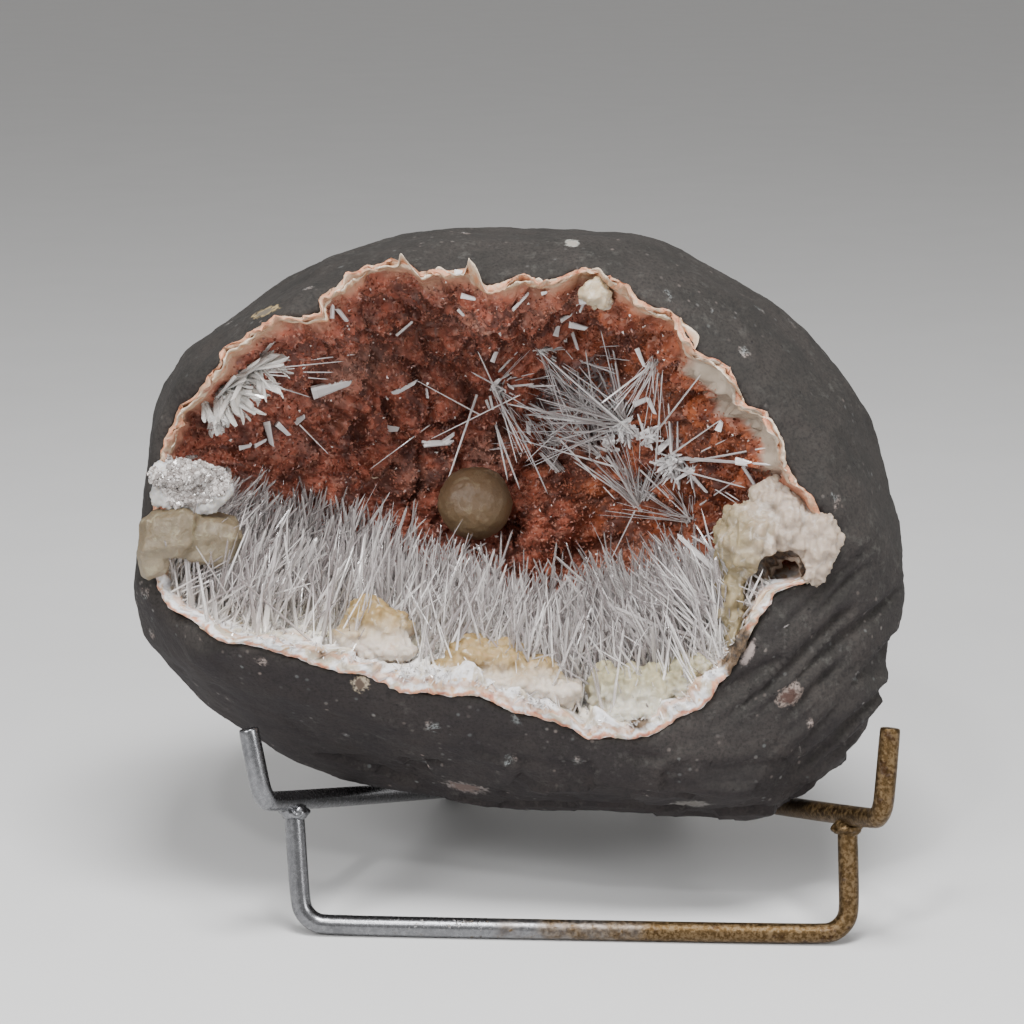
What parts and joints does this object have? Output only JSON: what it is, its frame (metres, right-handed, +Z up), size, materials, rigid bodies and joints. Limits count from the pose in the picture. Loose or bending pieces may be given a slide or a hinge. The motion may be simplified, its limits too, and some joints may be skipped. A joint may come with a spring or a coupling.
{
  "type": "scolecite geode on a wire stand",
  "caption": "Egg of grey basalt broken open on a hollow lined with red druse, calcite lumps and white needle crystals, resting on a bent wire easel stand.",
  "frame": {"origin": "centre of the footprint, on the table", "axes": "+X to the viewer's right along the stone's length, the open hollow faces -Y, +Z up"},
  "size_m": [0.1316, 0.1108, 0.113],
  "materials": {
    "basalt": "dull grey basalt, dressed in flat facets",
    "druse": "red-brown crust of tiny sparkling crystals",
    "rind": "thin chalky peach and white layer at the broken rim",
    "crystal": "clear to white scolecite needles and blades, glassy",
    "calcite": "waxy translucent yellow calcite",
    "steel_wire": "drawn steel wire, bright at the left and rusted brown at the right"
  },
  "bodies": {
    "root": {"basalt_shell": "basalt", "crystal_crust": "crystal", "stand_cradle": "steel_wire", "stand_front_leg": "steel_wire"}
  },
  "joints": []
}
